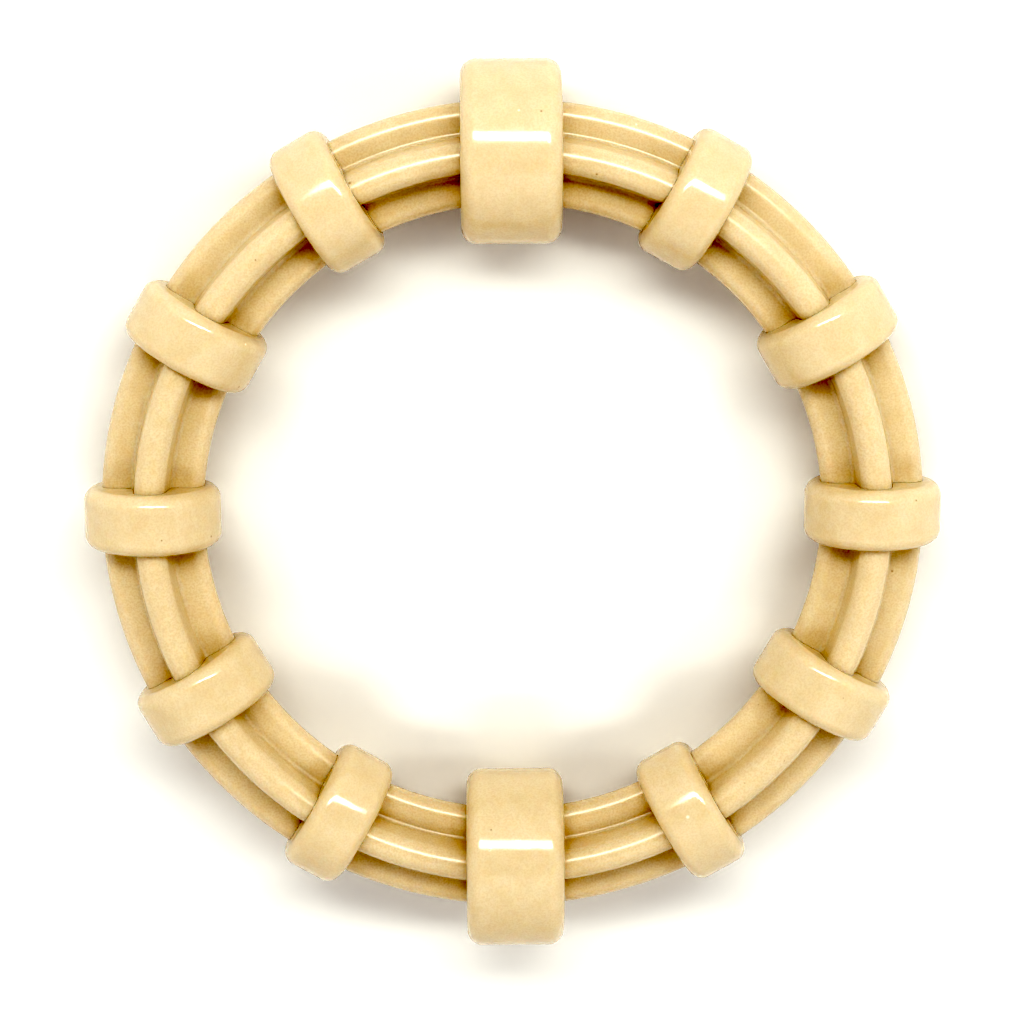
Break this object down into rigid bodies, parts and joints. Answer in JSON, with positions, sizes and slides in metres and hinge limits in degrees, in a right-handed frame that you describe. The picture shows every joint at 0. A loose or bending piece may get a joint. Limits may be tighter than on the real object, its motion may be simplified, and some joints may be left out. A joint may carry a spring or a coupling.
{
  "type": "dog teething ring",
  "caption": "Closed chew ring of hard nylon: a four-ribbed round core carries smooth round collars, two of them larger, and lies flat on the large ones.",
  "frame": {"origin": "centre of the ring, in the plane of the core's centre line", "axes": "+Z along the ring's axis, up when it lies flat; +Y to the wide collar at the top of the picture"},
  "size_m": [0.1426, 0.15, 0.03],
  "materials": {
    "core_nylon": "cream nylon, injection moulded, glossy",
    "collar_nylon": "cream nylon, injection moulded, glossy"
  },
  "bodies": {
    "root": {"core_half_right": "core_nylon", "core_half_left": "core_nylon", "wide_collar_top": "collar_nylon", "wide_collar_bottom": "collar_nylon", "narrow_collar_01": "collar_nylon", "narrow_collar_02": "collar_nylon", "narrow_collar_03": "collar_nylon", "narrow_collar_04": "collar_nylon", "narrow_collar_05": "collar_nylon", "narrow_collar_06": "collar_nylon", "narrow_collar_07": "collar_nylon", "narrow_collar_08": "collar_nylon", "narrow_collar_09": "collar_nylon", "narrow_collar_10": "collar_nylon"}
  },
  "joints": []
}
